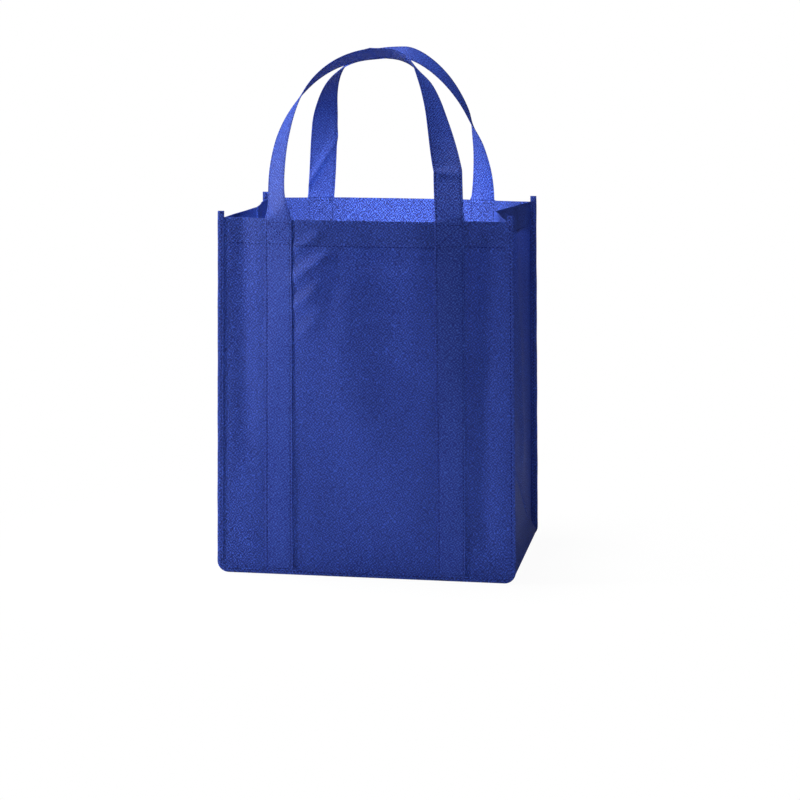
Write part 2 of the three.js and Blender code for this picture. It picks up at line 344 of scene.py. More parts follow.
@dataclass(frozen=True)
class Cut:
    """How the bag is cut, sewn and set up, in millimetres. The frame gives the outer sizes."""

    half_width: float
    half_depth: float
    mouth: float
    panel_belly: float
    cloth: float = 0.42
    layer: float = 0.5
    clearance: float = 0.3
    mouth_pinch: float = 5.5
    belly_share: float = 0.7
    hem_depth: float = 29.0
    hem_layer: float = 0.55
    seam_allowance: float = 6.5
    seam_corner: float = 5.0
    tape: float = 0.5
    tape_end: float = 6.5
    tape_lift: float = 0.3
    tape_width: float = 16.5
    hem_stitch: float = 2.2
    base_steps: int = 70

    @classmethod
    def from_frame(cls) -> Cut:
        """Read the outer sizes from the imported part.

        Returns:
            The cut of the bag, with the part's width, depth, height and swell.
        """
        strip_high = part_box("gusset_and_base")[1]
        panel_low, panel_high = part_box("front_panel")
        half_depth = strip_high[1] / MM + cls.layer / 2 + cls.clearance
        return cls(
            half_width=strip_high[0] / MM - cls.seam_allowance,
            half_depth=half_depth,
            mouth=panel_high[2] / MM,
            panel_belly=-panel_low[1] / MM - half_depth - cls.layer / 2,
        )

    @property
    def cloth_edge(self) -> float:
        """Height of the panels' raw lower edge."""
        return self.tape_lift + self.tape + self.clearance

    @property
    def base_seam(self) -> float:
        """Height of the stitch line along the base."""
        return self.cloth_edge + self.seam_allowance

    @property
    def side_foot(self) -> float:
        """Height at which the side seams start, above the rounded corner."""
        return self.base_seam + self.seam_corner

    @property
    def stitch_height(self) -> float:
        """Height of the hems' row of stitches."""
        return self.mouth - self.hem_depth + self.hem_stitch

    @property
    def strip_half(self) -> float:
        """Half the width of the gusset strip between its two seams."""
        return self.half_depth - self.layer - self.clearance

    @property
    def tape_root(self) -> float:
        """Distance from the stitch line to the tape's inner edges."""
        return self.layer / 2 + self.clearance

    def seam_half(self, z: np.ndarray | float) -> np.ndarray:
        """Half the width between the side seams.

        Args:
            z: Heights.

        Returns:
            Half width at each height.
        """
        climb = np.maximum(0.0, np.asarray(z, dtype=float) - self.side_foot)
        return self.half_width - self.mouth_pinch * climb / (self.mouth - self.side_foot)

    def belly(self, x: np.ndarray, z: np.ndarray) -> np.ndarray:
        """How far a panel stands out of its flat plane.

        Args:
            x: Places across the panel.
            z: Heights on the panel.

        Returns:
            Swell at each place.
        """
        from_seam = 1.0 - np.abs(x) / self.seam_half(z)
        across = smoothstep(from_seam, 0.0, self.belly_share)
        return self.panel_belly * across * smoothstep(z, self.base_seam, self.mouth)

    def seam_stations(self, climbs: np.ndarray, turns: int) -> Stations:
        """Stations down the left seam, along the base and up the right seam.

        Args:
            climbs: Rising heights over the foot of a side seam, from zero.
            turns: Steps round each bottom corner.

        Returns:
            Point and outward direction in x and z, side, climb and way from the base's end.
        """
        angles = np.linspace(0.0, math.pi / 2, turns + 1)[:-1]
        corner_out = np.stack([np.sin(angles), -np.cos(angles)], axis=-1)
        centre = np.array([self.half_width - self.seam_corner, self.side_foot])
        height = self.side_foot + climbs
        side_point = np.stack([self.seam_half(height), height], -1)
        point = np.concatenate([centre + corner_out * self.seam_corner, side_point])
        outward = np.concatenate([corner_out, np.tile([1.0, 0.0], (len(climbs), 1))])
        climb = np.concatenate([np.zeros(turns), climbs])
        way = np.concatenate([angles * self.seam_corner, self.seam_corner * math.pi / 2 + climbs])
        base_x = np.linspace(-centre[0], centre[0], self.base_steps + 2)[1:-1]
        base = np.stack([base_x, np.full(self.base_steps, self.base_seam)], axis=-1)
        down = np.tile([0.0, -1.0], (self.base_steps, 1))
        flip = np.array([-1.0, 1.0])
        right, level = np.ones(len(climb)), np.zeros(self.base_steps)
        return {
            "point": np.concatenate([(point * flip)[::-1], base, point]),
            "outward": np.concatenate([(outward * flip)[::-1], down, outward]),
            "side": np.concatenate([-right, np.sign(base_x + 1e-9), right]),
            "climb": np.concatenate([climb[::-1], level, climb]),
            "way": np.concatenate([way[::-1], level, way]),
        }

    def side_stations(self, side: float, climbs: np.ndarray) -> Stations:
        """Stations up one side seam.

        Args:
            side: Minus one for the left seam and one for the right.
            climbs: Heights over the foot of the seam.

        Returns:
            The same values as for the whole seam.
        """
        height, count = self.side_foot + climbs, len(climbs)
        return {
            "point": np.stack([side * self.seam_half(height), height], -1),
            "outward": np.tile([side, 0.0], (count, 1)),
            "side": np.full(count, side),
            "climb": climbs,
            "way": climbs + self.seam_corner * math.pi / 2,
        }

    def hem_fold(self, rows: int) -> tuple[np.ndarray, np.ndarray]:
        """Path of a hem: round the turned edge, then down inside.

        Args:
            rows: Rows of points down the inside.

        Returns:
            Height over the middle of the turn, and distance inwards, for each row.
        """
        radius = self.hem_layer / 2
        bend = np.linspace(0.0, math.pi, HEM_BEND)
        down = np.linspace(0.0, self.hem_depth - radius, rows + 1)[1:]
        inwards = [radius * (1 - np.cos(bend)), np.full(rows, self.hem_layer)]
        return np.concatenate([radius * np.sin(bend), -down]), np.concatenate(inwards)


class ClothMesh:
    """Middle surface of one cloth piece, gathered from grids of points, then given thickness."""

    def __init__(self) -> None:
        """Start with no cloth."""
        self.points: list[np.ndarray] = []
        self.uvs: list[np.ndarray] = []
        self.quads: list[np.ndarray] = []
        self.count = 0

    def add_grid(self, grid: np.ndarray, joined: np.ndarray | None = None) -> np.ndarray:
        """Add a grid of points, woven from its first row on.

        Args:
            grid: Rows and columns of points in millimetres.
            joined: Numbers of points already there that stand for the first row.

        Returns:
            Number of every point of the grid.
        """
        middle = grid.shape[1] // 2
        across = run_length(grid, 1)
        across = across - across[:, [middle]]
        along = np.broadcast_to(run_length(grid, 0)[:, [middle]], across.shape)
        uv = np.stack([across, along], axis=-1)
        if joined is None:
            index = np.arange(grid.shape[0] * grid.shape[1]).reshape(grid.shape[:2]) + self.count
            fresh, fresh_uv = grid.reshape(-1, 3), uv.reshape(-1, 2)
        else:
            first_uv = np.concatenate(self.uvs)[joined]
            level = np.broadcast_to(first_uv[:, 0], along.shape)
            uv = np.stack([level, along + first_uv[:, 1]], -1)
            rest = np.arange((grid.shape[0] - 1) * grid.shape[1]).reshape(-1, grid.shape[1])
            index = np.concatenate([joined[None], rest + self.count])
            fresh, fresh_uv = grid[1:].reshape(-1, 3), uv[1:].reshape(-1, 2)
        self.points.append(fresh)
        self.uvs.append(fresh_uv)
        self.count += len(fresh)
        corners = [index[:-1, :-1], index[:-1, 1:], index[1:, 1:], index[1:, :-1]]
        self.quads.append(np.stack(corners, axis=-1).reshape(-1, 4))
        return index

    def build(self, name: str, thickness: float, material: bpy.types.Material) -> bpy.types.Object:
        """Make the closed cloth.

        Args:
            name: Name of the piece.
            thickness: Thickness of the cloth in millimetres.
            material: Finish of the cloth.

        Returns:
            The piece, linked to the scene.
        """
        points, quads = np.concatenate(self.points), np.concatenate(self.quads).tolist()
        obj = make_object(name, points, quads, material, np.concatenate(self.uvs))
        solid = obj.modifiers.new("cloth_thickness", "SOLIDIFY")
        solid.thickness = thickness * MM
        solid.offset = 0.0
        apply_modifiers(obj)
        obj.data.set_sharp_from_angle(angle=math.radians(55.0))
        return obj


def make_object(
    name: str,
    points: np.ndarray,
    faces: list[list[int]],
    material: bpy.types.Material,
    uvs: np.ndarray | None = None,
) -> bpy.types.Object:
    """Make a smooth mesh object of points in millimetres.

    Args:
        name: Name of the object and its mesh.
        points: Points in millimetres.
        faces: Point numbers of each face.
        material: Finish of all the faces.
        uvs: Place of each point on the flat cloth, in millimetres.

    Returns:
        The object, linked to the scene.
    """
    mesh = bpy.data.meshes.new(name)
    mesh.from_pydata((points * MM).tolist(), [], faces)
    mesh.polygons.foreach_set("use_smooth", np.ones(len(mesh.polygons), dtype=bool))
    if uvs is not None:
        layer = mesh.uv_layers.new(name="flat_cloth")
        corner = np.empty(len(mesh.loops), dtype=np.int32)
        mesh.loops.foreach_get("vertex_index", corner)
        layer.data.foreach_set("uv", (uvs[corner] * MM).astype(np.float32).ravel())
    mesh.materials.append(material)
    mesh.validate()
    obj = bpy.data.objects.new(name, mesh)
    bpy.context.scene.collection.objects.link(obj)
    return obj


def apply_modifiers(obj: bpy.types.Object) -> None:
    """Bake an object's modifiers to its mesh.

    Args:
        obj: Object whose mesh is replaced by the modified one.
    """
    shaped = obj.evaluated_get(bpy.context.evaluated_depsgraph_get())
    mesh = bpy.data.meshes.new_from_object(shaped)
    mesh.name = obj.name
    obj.modifiers.clear()
    obj.data = mesh


class SewingThread:
    """Rows of lockstitch as real thread, gathered to one piece."""

    pitch = 4.2
    length = 2.8
    radius = 0.38
    sides = 5
    shoulder = 0.3
    sink = 0.1
    stand = 0.35
    squash = 0.8

    def __init__(self, material: bpy.types.Material) -> None:
        """Start with no stitches.

        Args:
            material: Finish of the thread.
        """
        self.material = material
        self.points: list[np.ndarray] = []
        self.stitches = 0

    def sew(self, line: np.ndarray, normal: np.ndarray) -> None:
        """Sew one row along a line on a cloth face.

        Args:
            line: Points of the row on the cloth face.
            normal: Direction out of the cloth at each point.
        """
        run = run_length(line, 0)
        count = int(run[-1] // self.pitch)
        if count < 1:
            return
        spare = (run[-1] - count * self.pitch) / 2
        middle = spare + self.pitch * (np.arange(count) + 0.5)
        ends = (-self.length / 2, 0.0, self.length / 2)
        at = [
            np.stack([np.interp(middle + d, run, line[:, k]) for k in range(3)], -1) for d in ends
        ]
        along = unit(at[2] - at[0])
        out = unit(np.stack([np.interp(middle, run, normal[:, k]) for k in range(3)], -1))
        aside = unit(np.cross(along, out))
        out = np.cross(aside, along)
        rings = [at[0][:, None] - self.sink * out[:, None]]
        for shift in (-self.shoulder, self.shoulder):
            spot = at[1] + along * self.length * shift + out * self.radius * self.stand
            ring = [
                spot + self.radius * (aside * math.cos(a) + out * math.sin(a) * self.squash)
                for a in np.arange(self.sides) * 2 * math.pi / self.sides
            ]
            rings.append(np.stack(ring, axis=1))
        rings.append(at[2][:, None] - self.sink * out[:, None])
        self.points.append(np.concatenate(rings, axis=1).reshape(-1, 3))
        self.stitches += count

    def build(self, name: str) -> bpy.types.Object:
        """Make one piece of all the stitches.

        Args:
            name: Name of the piece.

        Returns:
            The piece, linked to the scene.
        """
        sides, stitch = self.sides, []
        first, second, tip = 1, 1 + sides, 1 + 2 * sides
        for k in range(sides):
            nxt = (k + 1) % sides
            stitch += [
                [0, first + nxt, first + k],
                [first + k, first + nxt, second + nxt, second + k],
                [second + k, second + nxt, tip],
            ]
        faces = [[(tip + 1) * s + i for i in face] for s in range(self.stitches) for face in stitch]
        return make_object(name, np.concatenate(self.points), faces, self.material)


@dataclass(frozen=True)
class SpunbondFinish:
    """Spunbond polypropylene non-woven, which is hot-pressed from loose filaments.

    To the eye it is a soft, slightly cloudy cloth with a fine diamond grid of darker bond points,
    very little shine, and light that comes through a single layer. The pale crests between the
    bond points are partly painted highlight: painted glints of the fibres.
    """

    name: str
    colour: str
    thin_colour: str
    bond_colour: str
    glow_colour: str
    glow: float
    shine: float = 0.25
    grid: float = 2.6
    uneven: float = 8.0
    cloud: float = 9.0
    relief: float = 0.15

    def add_hatch(self, tree: bpy.types.NodeTree, flat: Socket) -> Socket:
        """Add the diamond grid of bond points: two crossed waves, a little uneven.

        The press leaves bond points under a millimetre apart. They are drawn about three times as
        coarse, so that the hatch holds in a picture of the whole bag.

        Args:
            tree: Node tree that gets the grid.
            flat: Places on the flat cloth in metres.

        Returns:
            Height of the cloth between the bond points.
        """
        waves = []
        for angle in (45.0, -45.0):
            turned = add_node(
                tree, "ShaderNodeMapping",
                {
                    "Vector": flat, "Rotation": (0.0, 0.0, math.radians(angle)),
                    "Scale": (self.grid * MM, self.grid * MM, 1.0),
                },
                vector_type="TEXTURE",
            )
            wave = add_node(
                tree, "ShaderNodeTexWave",
                {
                    "Vector": turned.outputs[0], "Scale": ONE_WAVE, "Distortion": self.uneven,
                    "Detail": 1.0, "Detail Scale": 1.5,
                },
                bands_direction="X",
            )
            waves.append(wave.outputs["Fac"])
        both = add_node(tree, "ShaderNodeMath", {0: waves[0], 1: waves[1]}, operation="ADD")
        return both.outputs[0]

    def make(self) -> bpy.types.Material:
        """Make the material.

        Returns:
            A material that reads the cloth's flat places in metres.
        """
        material = bpy.data.materials.new(self.name)
        tree = new_tree(material)
        flat = add_node(tree, "ShaderNodeUVMap", {}, uv_map="flat_cloth").outputs["UV"]
        pile = self.add_hatch(tree, flat)
        patch = add_ramp(tree, add_noise(tree, flat, self.cloud, 4.0, 0.65), (0.3, 0.72))
        felt = add_blend(tree, patch, hex_to_linear(self.colour), hex_to_linear(self.thin_colour))
        # Dark bond points, with the pale cloth colour on the crests between them. The strong
        # contrast is partly painted highlight: painted glints of the fibres.
        pressed = add_ramp(tree, pile, (1.75, 0.75))
        normal = add_bump(tree, pile, 1.0, self.relief)
        look = {
            "Base Color": add_blend(tree, pressed, felt, hex_to_linear(self.bond_colour)),
            "Roughness": add_ramp(tree, pressed, target=(0.6, 0.7)),
            "Specular IOR Level": self.shine,
            "Normal": normal,
        }
        cloth = add_node(tree, "ShaderNodeBsdfPrincipled", look).outputs["BSDF"]
        light = {"Color": hex_to_linear(self.glow_colour), "Normal": normal}
        glow = add_node(tree, "ShaderNodeBsdfTranslucent", light).outputs["BSDF"]
        mixed = add_node(tree, "ShaderNodeMixShader", {0: self.glow, 1: cloth, 2: glow})
        add_node(tree, "ShaderNodeOutputMaterial", {"Surface": mixed.outputs[0]})
        return material


@dataclass(frozen=True)
class ThreadFinish:
    """Spun polyester sewing thread: a soft lustre, broken up by its twist."""

    name: str
    colour: str
    shade_colour: str
    twist: float = 0.5

    def make(self) -> bpy.types.Material:
        """Make the material.

        Returns:
            The thread's material.
        """
        material = bpy.data.materials.new(self.name)
        tree = new_tree(material)
        place = add_node(tree, "ShaderNodeTexCoord", {}).outputs["Object"]
        ply = add_noise(tree, place, self.twist, 2.0)
        dark, pale = hex_to_linear(self.shade_colour), hex_to_linear(self.colour)
        look = {
            "Base Color": add_blend(tree, ply, dark, pale),
            "Roughness": 0.55,
            "Specular IOR Level": 0.2,
            "Normal": add_bump(tree, ply, 0.4, 0.1),
        }
        thread = add_node(tree, "ShaderNodeBsdfPrincipled", look)
        add_node(tree, "ShaderNodeOutputMaterial", {"Surface": thread.outputs["BSDF"]})
        return material


@dataclass(frozen=True)
class BoardFinish:
    """Black polyethylene board: matt and finely grained, with scuffs that catch the light."""

    name: str
    colour: str
    scuff_colour: str
    grain: float = 1.2
    scuff: float = 35.0

    def make(self) -> bpy.types.Material:
        """Make the material.

        Returns:
            The board's material.
        """
        material = bpy.data.materials.new(self.name)
        tree = new_tree(material)
        place = add_node(tree, "ShaderNodeTexCoord", {}).outputs["Object"]
        worn = add_ramp(tree, add_noise(tree, place, self.scuff, 6.0, 0.7), (0.5, 0.8))
        plain, scuffed = hex_to_linear(self.colour), hex_to_linear(self.scuff_colour)
        look = {
            "Base Color": add_blend(tree, worn, plain, scuffed),
            "Roughness": add_ramp(tree, worn, target=(0.42, 0.65)),
            "Normal": add_bump(tree, add_noise(tree, place, self.grain, 3.0), 0.3, 0.1),
        }
        board = add_node(tree, "ShaderNodeBsdfPrincipled", look)
        add_node(tree, "ShaderNodeOutputMaterial", {"Surface": board.outputs["BSDF"]})
        return material


@dataclass(frozen=True)
class Finishes:
    """The finished materials of the bag."""

    cloth: bpy.types.Material
    strap: bpy.types.Material
    tape: bpy.types.Material
    thread: bpy.types.Material
    board: bpy.types.Material

    @classmethod
    def make(cls) -> Finishes:
        """Make every material once.

        Returns:
            The materials.
        """
        return cls(
            # The first colour of each spunbond finish shows on the crests between the dark bond
            # points, partly as painted highlight.
            cloth=SpunbondFinish(
                "spunbond_polypropylene_nonwoven", "#3657c0", "#3f61cc", "#112064", "#8fa8ff", 0.2
            ).make(),
            strap=SpunbondFinish(
                "spunbond_polypropylene_doubled", "#3150b0", "#3858ba", "#162878", "#7089f4", 0.1
            ).make(),
            tape=SpunbondFinish(
                "spunbond_polypropylene_tape", "#3758c2", "#3f61cc", "#12226a", "#8ca4fa", 0.2
            ).make(),
            thread=ThreadFinish("spun_polyester_thread", "#14226e", "#0a1450").make(),
            board=BoardFinish("black_polyethylene_board", "#1d1e22", "#303238").make(),
        )


# Folds of the two panels, placed from the photograph; the back ones show inside the mouth.
FRONT_CREASES = (
    Crease((-71, 354), (-44, 371), 2.6, 5.0),
    Crease((-70, 325), (-38, 347), 5.4, 7.0),
    Crease((-69, 295), (-46, 314), 4.2, 6.5),
    Crease((-66, 263), (-46, 282), 2.4, 7.0),
    Crease((-34, 292), (-16, 338), -1.2, 9.0),
    Crease((-25, 341), (74, 341), 2.8, 9.0),
    Crease((127, 235), (129, 45), -4.0, 14.0),
    Crease((-131, 392), (-130, 352), -3.0, 11.0),
    Crease((-132, 345), (-131, 150), -3.4, 12.0),
    Crease((116, 300), (133, 255), 2.4, 6.0),
    Crease((115, 375), (118, 230), -10.0, 17.0),
    Crease((112, 90), (140, 30), -1.3, 9.0),
    Crease((-140, 60), (-112, 20), 1.2, 9.0),
    Crease((-28, 320), (-12, 170), 6.0, 38.0),
    Crease((25, 130), (60, 45), 3.0, 34.0),
)
BACK_CREASES = (
    Crease((-74, 330), (-30, 290), 1.3, 8.0),
    Crease((-42, 390), (-38, 340), -1.4, 9.0),
    Crease((8, 390), (4, 335), 1.5, 8.0),
    Crease((46, 390), (50, 345), -1.2, 7.0),
    Crease((60, 340), (10, 300), 1.2, 9.0),
    Crease((118, 320), (138, 240), -1.2, 8.0),
    Crease((-20, 220), (50, 120), 1.2, 18.0),
)


@dataclass
class BagPanel:
    """One face of the bag: a sheet that turns in at the mouth and runs down inside as its hem."""

    cut: Cut
    face: Face
    creases: tuple[Crease, ...]
    step: float = 3.2
    wave: float = 0.9
    stitch_press: float = 0.35
    stitch_groove: float = 0.9
    foot_fade: float = 45.0
    hem_inset: float = 2.6
    row_end: float = 3.0
    strap_gap: float = 0.5

    def out(self, x: np.ndarray, z: np.ndarray) -> np.ndarray:
        """How far the cloth's middle lies in front of the bag's middle plane.

        Args:
            x: Places across the panel.
            z: Heights on the panel.

        Returns:
            Distance to the front.
        """
        cut = self.cut
        x, z = np.broadcast_arrays(np.asarray(x, dtype=float), np.asarray(z, dtype=float))
        inside = np.clip(1.0 - (np.abs(x) / cut.seam_half(z)) ** 6, 0.0, 1.0)
        loose = inside * smoothstep(z, cut.base_seam, cut.base_seam + self.foot_fade)
        # Slow waves that don't repeat over the panel, so that no stretch of cloth is quite flat.
        ripple = (
            np.sin(0.031 * x + 0.019 * z + 0.4) * np.sin(0.027 * z - 0.011 * x + 1.1)
            + 0.55 * np.sin(0.066 * x - 0.043 * z + 2.0) * np.sin(0.024 * x + 0.05 * z)
            + 0.3 * np.sin(0.13 * x + 0.06 * z) * np.sin(0.09 * z - 0.05 * x + 0.7)
        )
        folds = lift_all(self.creases, x, z)
        from_row = (z - cut.stitch_height) / self.stitch_groove
        pressed = self.stitch_press * inside * np.exp(-(from_row**2))
        return cut.half_depth + cut.belly(x, z) + loose * (self.wave * ripple + folds) - pressed

    def spot(self, x: np.ndarray, z: np.ndarray, lift: np.ndarray | float) -> np.ndarray:
        """Points over the cloth's middle, for the front face.

        Args:
            x: Places across the panel.
            z: Heights on the panel.
            lift: Distance in front of the cloth's middle.

        Returns:
            The points.
        """
        x, z, lift = np.broadcast_arrays(np.asarray(x, float), np.asarray(z, float), lift)
        return np.stack([x, -self.out(x, z) - lift, z], axis=-1)

    def build(self, finishes: Finishes) -> bpy.types.Object:
        """Make the panel.

        Args:
            finishes: The materials.

        Returns:
            The piece.
        """
        cut = self.cut
        columns = np.linspace(-1.0, 1.0, int(2 * cut.half_width / self.step))
        corner = cut.seam_corner + cut.seam_allowance
        turns = np.linspace(0.0, math.pi / 2, 9)[:-1]
        side = np.linspace(cut.side_foot, cut.mouth - cut.hem_layer / 2, int(cut.mouth / self.step))
        groove = np.array([-1.8, -1.0, -0.5, 0.0, 0.5, 1.0, 1.8])
        side = np.union1d(side, cut.stitch_height + groove)
        heights = np.concatenate([cut.cloth_edge + corner * (1 - np.cos(turns)), side])
        inset = np.concatenate([corner * (1 - np.sin(turns)), np.zeros(len(side))])
        half = cut.seam_half(heights) + cut.seam_allowance - inset
        x = half[:, None] * columns
        mesh = ClothMesh()
        index = mesh.add_grid(self.face.place(self.spot(x, heights[:, None], 0.0)))

        rise, inwards = cut.hem_fold(9)
        hem_z = cut.mouth - cut.hem_layer / 2 + rise
        top = np.linspace(half[-1], cut.seam_half(cut.mouth) - self.hem_inset, HEM_BEND)
        narrow = np.concatenate([top, cut.seam_half(hem_z[HEM_BEND:]) - self.hem_inset])
        hem_x = narrow[:, None] * columns
        hem = self.spot(hem_x, np.minimum(hem_z, cut.mouth)[:, None], -inwards[:, None])
        mesh.add_grid(self.face.place(hem), joined=index[-1])
        return mesh.build(f"{self.face.value}_panel_cloth", cut.cloth, finishes.cloth)

    def sew_hem(self, thread: SewingThread, keep_clear: float, strap_half: float) -> None:
        """Sew the hem's row on both faces of the cloth.

        Args:
            thread: Thread that takes the stitches.
            keep_clear: Middle of each strap, which covers the outer row.
            strap_half: Half the width of a strap.
        """
        cut = self.cut
        z, face = cut.stitch_height, cut.cloth / 2
        edge = float(cut.seam_half(z)) - self.row_end
        inner = keep_clear - strap_half - self.strap_gap
        outer = keep_clear + strap_half + self.strap_gap
        rows = [(-edge, -outer, 80, face), (-inner, inner, 80, face), (outer, edge, 80, face)]
        rows.append((-edge, edge, 200, -cut.hem_layer - face))
        for low, high, count, lift in rows:
            line = self.spot(np.linspace(low, high, count), np.full(count, z), lift)
            out = self.face.place(np.array([0.0, -np.sign(lift), 0.0]))
            thread.sew(self.face.place(line), np.tile(out, (count, 1)))


@dataclass
class GussetStrip:
    """Both gussets and the base: one strip, pushed in along creases that split near the base."""

    cut: Cut
    left_fold: float = 10.0
    right_fold: float = 25.0
    split_fold: float = 13.0
    fold_split: float = 118.0
    crease_width: float = 1.0
    crease_press: float = 0.9
    base_shoulder: float = 12.0
    shoulder_fade: float = 30.0
    hem_inset: float = 2.5
    creases: tuple[Crease, ...] = (
        Crease((56, 352), (62, 95), 4.0, 9.0),
        Crease((84, 330), (80, 90), -1.5, 9.0),
    )
    crease_groove: float = 1.3
    crease_fade: Limits = (5.0, 25.0)
    loose_fade: Limits = (20.0, 90.0)
    web_columns: int = 33
    flat_columns: int = 15
    step: float = 3.0

    def sections(self, stations: Stations) -> np.ndarray:
        """Cross-sections of the cloth's middle at stations along the seam.

        Args:
            stations: Stations of the seam.

        Returns:
            Grid of points, one row for each station, from the front flange to the back one.
        """
        cut = self.cut
        top = cut.mouth - cut.side_foot
        climb, side = stations["climb"][:, None], stations["side"][:, None]
        fold = np.where(side < 0, self.left_fold, self.right_fold)
        high = np.clip((climb - self.fold_split) / (top - self.fold_split), 0.0, 1.0)
        low = np.clip(climb / self.fold_split, 0.0, 1.0)
        upper = self.split_fold + (fold - self.split_fold) * high
        push = np.where(climb < self.fold_split, self.split_fold * low, upper)
        widest = cut.strip_half - self.crease_width / 2
        reach = self.base_shoulder + (widest - self.base_shoulder) * low
        risen = smoothstep(stations["way"], 0.0, self.shoulder_fade)[:, None]
        drop = (cut.base_seam - cut.layer / 2) * (1.0 - risen)

        # The columns crowd towards the crease, which is the sharpest bend.
        share = 1.0 - np.linspace(1.0, 0.0, self.web_columns)[None] ** 1.5
        inwards = self.hem_inset + (reach - self.hem_inset) * share
        web_out = drop * smoothstep(share, 0.0, 1.0) - push * inwards / reach
        flat = np.linspace(0.0, 1.0, self.flat_columns + 2)[None, 1:-1]
        flat_in = reach + (2 * cut.strip_half - 2 * reach) * flat
        flat_out = np.broadcast_to(drop - push, flat_in.shape)
        inner = np.concatenate([inwards, flat_in, (2 * cut.strip_half - inwards)[:, ::-1]], axis=1)
        outer = np.concatenate([web_out, flat_out, web_out[:, ::-1]], axis=1)
        soften(outer, 4)
        across = inner - cut.strip_half
        from_fold = np.abs(np.abs(across) - (cut.strip_half - reach))
        pressed = self.crease_press * smoothstep(climb, *self.crease_fade)
        outer = outer - pressed * np.exp(-((from_fold / self.crease_groove) ** 2))
        held = np.sin(math.pi * inner / (2 * cut.strip_half)) ** 0.7
        loose = smoothstep(climb, *self.loose_fade) * held
        outer = outer + loose * self.ripple(across, climb, side)

        tip = np.full((len(climb), FLANGE), cut.strip_half)
        y = np.concatenate([-tip, across, tip], axis=1)
        edge = np.broadcast_to(np.linspace(cut.seam_allowance, 0.0, FLANGE), tip.shape)
        return beside_seam(stations, np.concatenate([edge, outer, edge[:, ::-1]], axis=1), y)

    def ripple(self, across: np.ndarray, climb: np.ndarray, side: np.ndarray) -> np.ndarray:
        """Soft unevenness of the hanging gussets.

        Args:
            across: Places across the strip.
            climb: Heights over the foot of the side seams.
            side: Minus one on the left and one on the right.

        Returns:
            Distance outwards.
        """
        slant = np.sin(0.07 * across + 0.021 * climb + side)
        uneven = 0.8 * slant * np.sin(0.033 * climb - 0.02 * across)
        return uneven + lift_all(self.creases, across, climb)

    def build(self, finishes: Finishes) -> bpy.types.Object:
        """Make the strip.

        Args:
            finishes: The materials.

        Returns:
            The piece.
        """
        cut = self.cut
        top = cut.mouth - cut.side_foot - cut.hem_layer / 2
        stations = cut.seam_stations(np.linspace(0.0, top, int(top / self.step)), 8)
        grid = self.sections(stations)
        mesh = ClothMesh()
        index = mesh.add_grid(grid)
        web = slice(FLANGE, grid.shape[1] - FLANGE)
        rise, inwards = cut.hem_fold(8)
        for side, end in ((-1.0, 0), (1.0, -1)):
            hem = self.sections(cut.side_stations(side, top + rise))[:, web]
            hem[..., 0] -= side * inwards[:, None]
            mesh.add_grid(hem, joined=index[end, web])
        return mesh.build("gusset_base_cloth", cut.cloth, finishes.cloth)

    def sew_hem(self, thread: SewingThread) -> None:
        """Sew the hem's row on both faces of each gusset.

        Args:
            thread: Thread that takes the stitches.
        """
        cut = self.cut
        climb = cut.mouth - cut.side_foot - cut.hem_depth + cut.hem_stitch
        for side in (-1.0, 1.0):
            stations = cut.side_stations(side, np.array([climb]))
            line = self.sections(stations)[0, FLANGE + 1 : -FLANGE - 1]
            for way, lift in ((side, cut.cloth / 2), (-side, cut.cloth / 2 + cut.hem_layer)):
                out = np.array([way, 0.0, 0.0])
                thread.sew(line + out * lift, np.tile(out, (len(line), 1)))


@dataclass
class SeamBinding:
    """Tape folded over the raw edges of one seam, down a side, along the base and up again."""

    cut: Cut
    face: Face
    step: float = 4.0
    stitch_line: float = 3.3
    wave: float = 0.18
    wave_reach: float = 7.0
    calm_foot: float = 8.0
    roundness: float = 0.75
    trim: float = 0.08

    def section(self) -> np.ndarray:
        """Middle line of the folded tape.

        Returns:
            Distance out from the seam and to the back, from the front leg round to the back leg.
        """
        cut = self.cut
        front = -(cut.layer / 2 + cut.clearance + cut.tape / 2)
        behind = cut.layer / 2 + cut.clearance + cut.layer + cut.clearance + cut.tape / 2
        radius = (behind - front) / 2
        edge = cut.seam_allowance + cut.clearance + cut.tape / 2
        bend = np.linspace(-math.pi / 2, math.pi / 2, 9)
        deep = radius * self.roundness
        legs = np.linspace(cut.tape_root, edge - deep, 6)[:-1]
        round_out = edge - deep + deep * np.cos(bend)
        round_y = (front + behind) / 2 + radius * np.sin(bend)
        out = np.concatenate([legs, round_out, legs[::-1]])
        y = np.concatenate([np.full(len(legs), front), round_y, np.full(len(legs), behind)])
        return np.stack([out, y], axis=-1)

    def stations(self) -> Stations:
        """Stations of the tape, which ends a little above the mouth.

        Returns:
            Stations of the seam.
        """
        top = self.cut.mouth + self.cut.tape_end - self.cut.side_foot
        return self.cut.seam_stations(np.linspace(0.0, top, int(top / self.step)), 10)

    def build(self, finishes: Finishes, thread: SewingThread) -> bpy.types.Object:
        """Make the tape and sew its row on both faces.

        Args:
            finishes: The materials.
            thread: Thread that takes the stitches.

        Returns:
            The piece.
        """
        cut = self.cut
        stations = self.stations()
        section = self.section()
        climb, out = stations["climb"][:, None], section[:, 0]
        run = np.arange(len(climb))[:, None] * self.step
        uneven = self.wave * np.sin(0.11 * run) * np.sin(0.043 * run + 1.0)
        uneven = uneven * (climb > self.calm_foot)
        wavy = out + uneven * out / self.wave_reach
        mesh, thick = ClothMesh(), cut.tape - self.trim
        mesh.add_grid(self.face.place(beside_seam(stations, wavy, section[:, 1] - cut.half_depth)))
        piece = mesh.build(f"{self.face.value}_tape", thick, finishes.tape)
        for y, way in ((section[0, 1], -1.0), (section[-1, 1], 1.0)):
            beside = np.array([y + way * thick / 2 - cut.half_depth])
            row = beside_seam(stations, np.array([self.stitch_line]), beside)[:, 0]
            facing = self.face.place(np.array([0.0, way, 0.0]))
            thread.sew(self.face.place(row), np.tile(facing, (len(row), 1)))
        return piece


